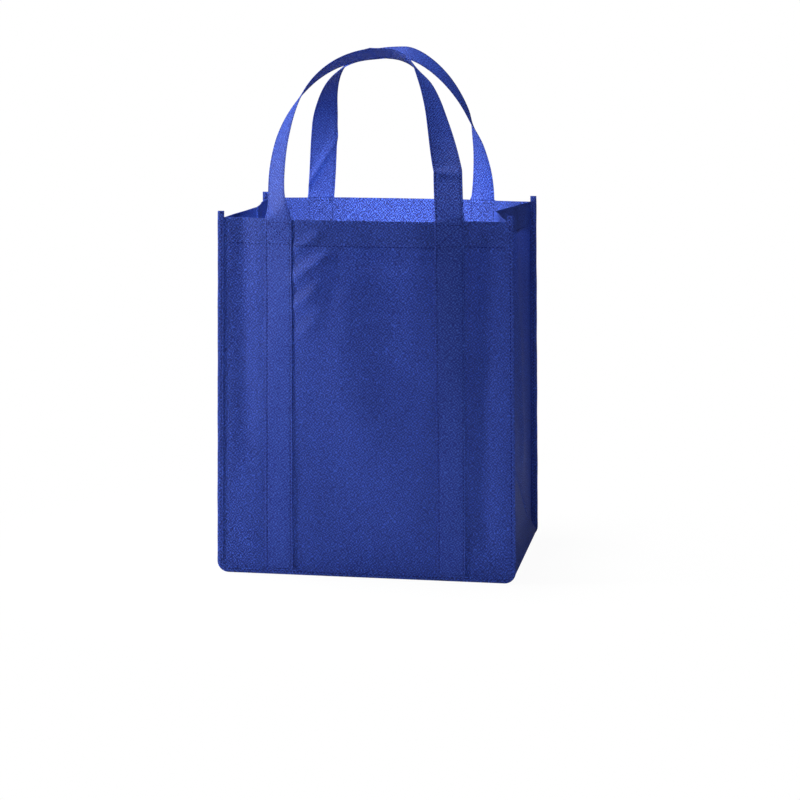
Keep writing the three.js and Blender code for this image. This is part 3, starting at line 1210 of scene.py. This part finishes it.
@dataclass(frozen=True)
class HandleLie:
    """How one handle stands: one leg turns early above the mouth, the other stands and turns late.

    Turns are pairs of a distance along the leg from the mouth and an angle in degrees. Creases lie
    across the strap and along it, the distance along counted from the late leg's mouth.
    """

    rise: float
    lean: float
    top_shift: float
    early_inset: float
    early_spread: float
    early_leg: float
    early_arch: float
    early_turn: Turn
    late_inset: float
    late_stand: float
    late_drift: float
    late_slant: float
    late_leg: float
    late_arch: float
    late_turn: Turn
    creases: tuple[Crease, ...]


FRONT_LIE = HandleLie(
    rise=168.8, lean=86.0, top_shift=9.7,
    early_inset=4.2, early_spread=15.8, early_leg=87.5, early_arch=93.2,
    early_turn=(
        (0, 6), (12, 38), (25, 44), (58, 45), (93, 50),
        (116, 58), (150, 72), (185, 79), (225, 86),
    ),
    late_inset=2.2, late_stand=51.0, late_drift=4.7,
    late_slant=0.278, late_leg=64.8, late_arch=45.3,
    late_turn=(
        (0, 3), (45, 8), (70, 20), (97, 37), (120, 50),
        (142, 57), (165, 66), (185, 84), (225, 87),
    ),
    creases=(
        Crease((-16, 50), (16, 53), 1.6, 4.5),
        Crease((-16, 226), (14, 236), 1.4, 3.5),
    ),
)
BACK_LIE = HandleLie(
    rise=166.8, lean=60.0, top_shift=-14.4,
    early_inset=-1.5, early_spread=9.0, early_leg=121.0, early_arch=21.3,
    early_turn=(
        (0, 22), (38, 41), (55, 51), (74, 61), (87, 72),
        (97, 82), (120, 85), (150, 89), (190, 92),
    ),
    late_inset=2.5, late_stand=66.3, late_drift=7.4,
    late_slant=0.134, late_leg=62.7, late_arch=86.6,
    late_turn=(
        (0, 5), (50, 15), (95, 28), (120, 52),
        (140, 65), (165, 80), (190, 85), (210, 92),
    ),
    creases=(Crease((-26, -3), (26, 96), -4.6, 3.8),),
)


@dataclass
class StrapHandle:
    """One doubled strap: up the panel from the base seam, over as a free loop and down again."""

    cut: Cut
    panel: BagPanel
    lie: HandleLie
    width: float = 30.0
    thickness: float = 0.85
    curl: float = 0.2
    spacing: float = 187.0
    lean_curve: float = 1.3
    top_tilt: float = 0.8
    stitch_inset: float = 2.1
    stitch_press: float = 0.75
    stitch_groove: float = 0.9
    edge_round: float = 1.1
    edge_swell: float = 0.15
    swell_inset: float = 1.2
    mouth_fade: float = 45.0
    box_low: float = 3.0
    box_high: float = 3.5
    row_end: float = 2.0
    step: float = 3.0

    def __post_init__(self) -> None:
        """Work out the strap's middle line and its directions once."""
        cut = self.cut
        foot = cut.base_seam - cut.tape_root + cut.clearance
        self.leg_z = np.linspace(foot, cut.mouth, int(cut.mouth / self.step))
        self.loop, self.face_way, self.side_way = self.loop_frames()

    @property
    def face(self) -> Face:
        """Face of the bag that carries the strap."""
        return self.panel.face

    def loop_frames(self) -> tuple[np.ndarray, np.ndarray, np.ndarray]:
        """Middle line of the free loop, evenly spaced, with its directions.

        Returns:
            Points, directions out of the strap's outer face, and directions across it.
        """
        lie, mouth = self.lie, self.cut.mouth
        rise, shift = lie.rise, lie.top_shift
        start, end = float(self.middle(-1, mouth)), float(self.middle(1, mouth))
        kink = np.array([end - lie.late_drift, lie.late_stand])
        pull = kink + np.array([-lie.late_slant, 1.0]) * lie.late_leg
        early = np.array(
            [
                (start, 0.0), (start - lie.early_spread, lie.early_leg),
                (shift - lie.early_arch, rise), (shift, rise),
            ]
        )
        late = np.array([(shift, rise), (shift + lie.late_arch, rise), pull, kink])
        t = np.linspace(0.0, 1.0, 600)[:, None]
        inner = [3 * t * (1 - t) ** 2, 3 * t * t * (1 - t)]
        weights = np.concatenate([(1 - t) ** 3, *inner, t**3], axis=1)
        stand = kink + (np.array([end, 0.0]) - kink) * np.linspace(0.0, 1.0, 60)[1:, None]
        flat = np.concatenate([weights @ early, (weights @ late)[1:], stand])
        height = np.clip(flat[:, 1], 0.0, rise)
        foot = self.panel.out(np.array([start, end]), np.full(2, mouth)) + self.lift_off
        rest = np.interp(flat[:, 0], [start, end], foot)
        y = -rest + lie.lean * (height / rise) ** self.lean_curve
        fine = np.stack([flat[:, 0], y, mouth + flat[:, 1]], axis=-1)
        run = run_length(fine, 0)
        length = run[-1]
        along = np.linspace(0.0, length, int(length / self.step))
        loop = np.stack([np.interp(along, run, fine[:, k]) for k in range(3)], axis=-1)

        way = unit(np.gradient(loop, along, axis=0))
        share = np.clip((loop[:, 2] - self.cut.mouth) / rise, 0.0, 1.0)
        slope = self.top_tilt * self.lean_curve * lie.lean * share ** (self.lean_curve - 1)
        front = unit(np.stack([np.zeros_like(slope), np.full_like(slope, -rise), slope], axis=-1))
        degrees = np.minimum(
            np.interp(along, *np.array(lie.early_turn).T),
            np.interp(length - along, *np.array(lie.late_turn).T),
        )
        soften(degrees, 6)
        twist = np.radians(degrees)[:, None]
        outwards = np.cross(front, way)
        facing = front * np.cos(twist) + outwards * np.sin(twist)
        self.from_late = length - along
        return loop, facing, unit(np.cross(way, facing))

    def middle(self, side: int, z: np.ndarray | float) -> np.ndarray:
        """Middle of a leg on the panel, which stands a little further in at the mouth.

        Args:
            side: Minus one for the early leg and one for the late leg.
            z: Heights on the panel.

        Returns:
            Place across the panel at each height.
        """
        inset = self.lie.early_inset if side < 0 else self.lie.late_inset
        return side * (self.spacing / 2 - inset * smoothstep(z, self.cut.base_seam, self.cut.mouth))

    @property
    def lift_off(self) -> float:
        """Distance from the panel cloth's middle to the strap's middle."""
        return self.cut.layer / 2 + self.cut.clearance + self.thickness / 2

    def surface(self, across: float, above: float, lifted: float = 0.0) -> np.ndarray:
        """Points along the whole strap, for the front face.

        Args:
            across: Place across the strap, from its middle.
            above: Distance over the strap's middle layer.
            lifted: How far this line of the strap stands off where it lies on the panel.

        Returns:
            Points from one base seam to the other.
        """
        z, mouth = self.leg_z, self.cut.mouth
        near = smoothstep(z, mouth - self.mouth_fade, mouth)
        low = self.lift_off + above + lifted * (1.0 - near)
        up = self.panel.spot(self.middle(-1, z) + across, z, low)
        down = self.panel.spot(self.middle(1, z) - across, z, low)
        fold = lift_all(self.lie.creases, across, self.from_late)
        free = self.loop + self.side_way * across + self.face_way * (above + fold)[:, None]
        return np.concatenate([up, free[1:-1], down[::-1]])

    def build(self, finishes: Finishes) -> bpy.types.Object:
        """Make the strap with folded edges and the two channels that its stitching presses in.

        Args:
            finishes: The materials.

        Returns:
            The piece.
        """
        half, sewn = self.width / 2, self.width / 2 - self.stitch_inset
        inner = np.linspace(-half + 6.0, half - 6.0, 9)
        across = np.concatenate([RIM - half, inner, (half - RIM)[::-1]])
        reach = np.abs(across)
        edge = np.clip((half - reach) / self.edge_round, 0.0, 1.0)
        channel = np.exp(-(((reach - sewn) / self.stitch_groove) ** 2))
        swell = np.exp(-(((reach - half + self.swell_inset) / self.stitch_groove) ** 2))
        thick = self.thickness / 2 * np.sqrt(1 - (1 - edge) ** 2)
        thick = thick * (1 - self.stitch_press * channel)
        thick = thick * (1 + self.edge_swell * swell)
        curl = self.curl * np.clip((reach - sewn + 0.5) / self.stitch_inset, 0.0, 1.2) ** 2
        back = slice(-2, 0, -1)
        ring = list(zip(across, thick, curl)) + list(zip(across[back], -thick[back], curl[back]))
        lines = np.stack([self.surface(a, b, c) for a, b, c in ring], axis=1)
        rows, columns = lines.shape[:2]
        index = np.arange(rows * columns).reshape(rows, columns)
        nxt = np.roll(index, -1, axis=1)
        quads = np.stack([index[:-1], nxt[:-1], nxt[1:], index[1:]], axis=-1)
        faces = quads.reshape(-1, 4).tolist() + [index[0][::-1].tolist(), index[-1].tolist()]
        along = np.broadcast_to(run_length(self.surface(0.0, 0.0), 0)[:, None], index.shape)
        flat = np.broadcast_to(np.array([a for a, _, _ in ring]), index.shape)
        uvs = np.stack([flat, along], axis=-1).reshape(-1, 2)
        points = self.face.place(lines.reshape(-1, 3))
        piece = make_object(f"{self.face.value}_strap", points, faces, finishes.strap, uvs)
        piece.data.set_sharp_from_angle(angle=math.radians(60.0))
        return piece

    def sew(self, thread: SewingThread) -> None:
        """Sew both edges along the strap and a crossed box at the mouth on each leg.

        Args:
            thread: Thread that takes the stitches.
        """
        sewn = self.width / 2 - self.stitch_inset
        legs = len(self.leg_z)
        press = self.thickness / 2 * (1 - self.stitch_press)
        for across in (-sewn, sewn):
            for way in (1.0, -1.0):
                line = self.surface(across, way * press)
                out = unit(self.surface(across, way * (press + 1.0)) - line)
                part = slice(None) if way > 0 else slice(legs, -legs)
                thread.sew(self.face.place(line[part]), self.face.place(out[part]))
        self.sew_boxes(thread)

    def sew_boxes(self, thread: SewingThread) -> None:
        """Sew the crossed boxes, and the strap's rows inside the bag.

        Args:
            thread: Thread that takes the stitches.
        """
        cut = self.cut
        sewn = self.width / 2 - self.stitch_inset
        low, high = cut.mouth - cut.hem_depth + self.box_low, cut.mouth - self.box_high
        pairs = ((low, low), (high, high), (low, high), (high, low))
        box = [((-sewn, z0), (sewn, z1)) for z0, z1 in pairs]
        foot, top = self.leg_z[2], cut.mouth - self.row_end
        sides = [((edge, foot), (edge, top)) for edge in (-sewn, sewn)]
        over = self.lift_off + self.thickness / 2
        for side in (-1, 1):
            for way, rows in ((1.0, box), (-1.0, box + sides)):
                for (x0, z0), (x1, z1) in rows:
                    z = np.linspace(z0, z1, 150)
                    x = self.middle(side, z) + np.linspace(x0, x1, 150)
                    hem = np.where(z > cut.mouth - cut.hem_depth, cut.hem_layer, 0.0)
                    inside = hem + cut.cloth / 2
                    line = self.panel.spot(x, z, over if way > 0 else -inside)
                    out = np.tile([0.0, -way, 0.0], (150, 1))
                    thread.sew(self.face.place(line), self.face.place(out))

    @property
    def length(self) -> float:
        """Length of the strap along its middle."""
        return float(run_length(self.surface(0.0, 0.0), 0)[-1])


@dataclass
class Tote:
    """The whole bag: panels, gusset strip, bindings, handles, thread and the loose base board."""

    cut: Cut
    finishes: Finishes

    def carry(self, piece: bpy.types.Object, slot: str, *nodes: str) -> bpy.types.Object:
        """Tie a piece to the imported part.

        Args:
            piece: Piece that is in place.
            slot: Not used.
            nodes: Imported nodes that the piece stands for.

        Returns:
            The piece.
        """
        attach(piece, "root")
        if nodes:
            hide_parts(*nodes)
        LOG.info("%s: %d faces", piece.name, len(piece.data.polygons))
        return piece

    def build_face(self, panel: BagPanel, handle: StrapHandle) -> None:
        """Make one face of the bag with its tape, handle and thread.

        Args:
            panel: Panel of the face.
            handle: Handle on that panel.
        """
        face, cut = panel.face, self.cut
        name = face.value
        seam_thread = SewingThread(self.finishes.thread)
        strap_thread = SewingThread(self.finishes.thread)
        panel.sew_hem(seam_thread, handle.spacing / 2, handle.width / 2)
        cloth = self.carry(panel.build(self.finishes), "bag_cloth", f"{name}_panel")
        binding = SeamBinding(cut, face).build(self.finishes, seam_thread)
        tape = self.carry(binding, "binding_tape", f"{name}_binding")
        strap = self.carry(handle.build(self.finishes), "strap_cloth", f"{name}_handle")
        handle.sew(strap_thread)
        seams = self.carry(seam_thread.build(f"{name}_seam_thread"), "thread")
        edges = self.carry(strap_thread.build(f"{name}_strap_thread"), "thread")

        handle.length * MM

    def build(self) -> None:
        """Make every piece of the bag."""
        cut = self.cut
        strip = GussetStrip(cut)
        thread = SewingThread(self.finishes.thread)
        cloth = self.carry(strip.build(self.finishes), "bag_cloth", "gusset_and_base")
        strip.sew_hem(thread)
        rows = self.carry(thread.build("gusset_thread"), "thread")
        front_panel = BagPanel(cut, Face.FRONT, FRONT_CREASES)
        back_panel = BagPanel(cut, Face.BACK, BACK_CREASES)
        self.build_face(front_panel, StrapHandle(cut, front_panel, FRONT_LIE))
        self.build_face(back_panel, StrapHandle(cut, back_panel, BACK_LIE))


@dataclass(frozen=True)
class Studio:
    """White sweep, the photograph's camera and its light.

    A small key lamp rakes the front from the left. Softer ones behind it, above and at the right
    fill in, and a low one in the mouth lights the inside of the back panel.
    """

    camera_place: tuple[float, float, float] = (0.446, -2.5627, 0.6508)
    camera_yaw: float = 9.44
    camera_pitch: float = 10.38
    lens: float = 108.0
    sensor: float = 36.0

    def build(self) -> None:
        """Set up the camera, floor, background and lamps."""
        scene = bpy.context.scene
        scene.view_settings.view_transform = "Standard"
        data = bpy.data.cameras.new("camera")
        data.lens = self.lens
        data.sensor_width = self.sensor
        camera = bpy.data.objects.new("camera", data)
        camera.location = self.camera_place
        tilt, turn = math.radians(90.0 - self.camera_pitch), math.radians(self.camera_yaw)
        camera.rotation_euler = (tilt, 0.0, turn)
        scene.collection.objects.link(camera)
        scene.camera = camera
        self.build_floor()
        self.build_world(scene)
        self.add_lamp("left_softbox", (-1.51, -0.42, 0.65), (0.0, 0.0, 0.3), (0.25, 0.25), 33.0)
        self.add_lamp("left_back_softbox", (-2.0, 0.6, 0.9), (0.0, 0.0, 0.4), (0.5, 0.5), 9.0)
        self.add_lamp("top_softbox", (-0.2, 0.0, 1.7), (0.0, 0.0, 0.3), (0.4, 0.4), 28.0)
        self.add_lamp("right_softbox", (1.2, -1.9, 0.8), (0.0, 0.0, 0.35), (0.4, 0.4), 9.5)
        self.add_lamp(
            "mouth_softbox", (0.0, -0.085, 0.34), (0.0, 0.12, 0.35), (0.26, 0.07), 0.5, 100.0
        )

    def add_lamp(
        self, name: str, place: tuple[float, ...], aim: tuple[float, ...], size: Limits,
        power: float, spread: float = 180.0,
    ) -> None:
        """Add one soft lamp.

        Args:
            name: Name of the lamp.
            place: Where it stands, in metres.
            aim: Where it points, in metres.
            size: Sides of its rectangle, in metres.
            power: Power in watts.
            spread: Angle of its beam, in degrees.
        """
        data = bpy.data.lights.new(name, "AREA")
        data.shape = "RECTANGLE"
        data.size, data.size_y = size
        data.energy = power
        data.spread = math.radians(spread)
        lamp = bpy.data.objects.new(name, data)
        lamp.visible_camera = False
        lamp.location = place
        lamp.rotation_euler = (Vector(aim) - Vector(place)).to_track_quat("-Z", "Y").to_euler()
        bpy.context.scene.collection.objects.link(lamp)

    def build_floor(self) -> None:
        """Make the pale floor, white to the camera apart from the bag's soft shadow."""
        material = bpy.data.materials.new("white_studio_sweep")
        tree = new_tree(material)
        paper = add_node(
            tree, "ShaderNodeBsdfPrincipled",
            {"Base Color": hex_to_linear("#f4f4f4"), "Roughness": 0.9, "Specular IOR Level": 0.1},
        )
        glow = {"Color": hex_to_linear("#ffffff"), "Strength": 1.0}
        white = add_node(tree, "ShaderNodeEmission", glow)
        seen = add_node(tree, "ShaderNodeLightPath", {}).outputs["Is Camera Ray"]
        place = add_node(tree, "ShaderNodeTexCoord", {}).outputs["Object"]
        away = add_node(tree, "ShaderNodeVectorMath", {0: place}, operation="LENGTH")
        clear = add_ramp(
            tree, away.outputs["Value"], (0.15, 0.5), (0.96, 1.0), interpolation_type="SMOOTHSTEP"
        )
        share = add_node(tree, "ShaderNodeMath", {0: seen, 1: clear}, operation="MULTIPLY")
        mixed = add_node(
            tree, "ShaderNodeMixShader",
            {0: share.outputs[0], 1: paper.outputs["BSDF"], 2: white.outputs[0]},
        )
        add_node(tree, "ShaderNodeOutputMaterial", {"Surface": mixed.outputs[0]})
        wide, near, far, low = 2500.0, -3500.0, 1500.0, -0.1
        corners = [(-wide, near, low), (wide, near, low), (wide, far, low), (-wide, far, low)]
        floor = make_object("floor", np.array(corners), [[0, 1, 2, 3]], material)

    def build_world(self, scene: bpy.types.Scene) -> None:
        """Make the surroundings: white to the camera, a dim even light to the bag.

        Args:
            scene: Scene that gets the world.
        """
        world = bpy.data.worlds.new("studio")
        scene.world = world
        tree = new_tree(world)
        seen = add_node(tree, "ShaderNodeLightPath", {}).outputs
        rays = {0: seen["Is Camera Ray"], 1: seen["Is Transmission Ray"]}
        shown = add_node(tree, "ShaderNodeMath", rays, operation="MAXIMUM")
        level = add_ramp(tree, shown.outputs[0], target=(0.05, 1.0))
        white = {"Color": hex_to_linear("#ffffff"), "Strength": level}
        back = add_node(tree, "ShaderNodeBackground", white)
        add_node(tree, "ShaderNodeOutputWorld", {"Surface": back.outputs[0]})


def dress_board(frame: dict, finishes: Finishes) -> None:
    """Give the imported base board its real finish.

    Args:
        frame: The loaded frame.
        finishes: The materials.
    """
    board = frame["nodes"]["base_board"]
    if not board.material_slots:
        board.data.materials.append(finishes.board)
    for slot in board.material_slots:
        slot.link = "OBJECT"
        slot.material = finishes.board
    LOG.info("base_board: packed node, new finish")


def main() -> None:
    """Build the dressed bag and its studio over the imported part."""
    logging.basicConfig(level=logging.INFO, format="%(name)s: %(message)s")
    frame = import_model()
    finishes = Finishes.make()
    Tote(Cut.from_frame(), finishes).build()
    dress_board(frame, finishes)
    Studio().build()


if __name__ == "__main__":
    main()
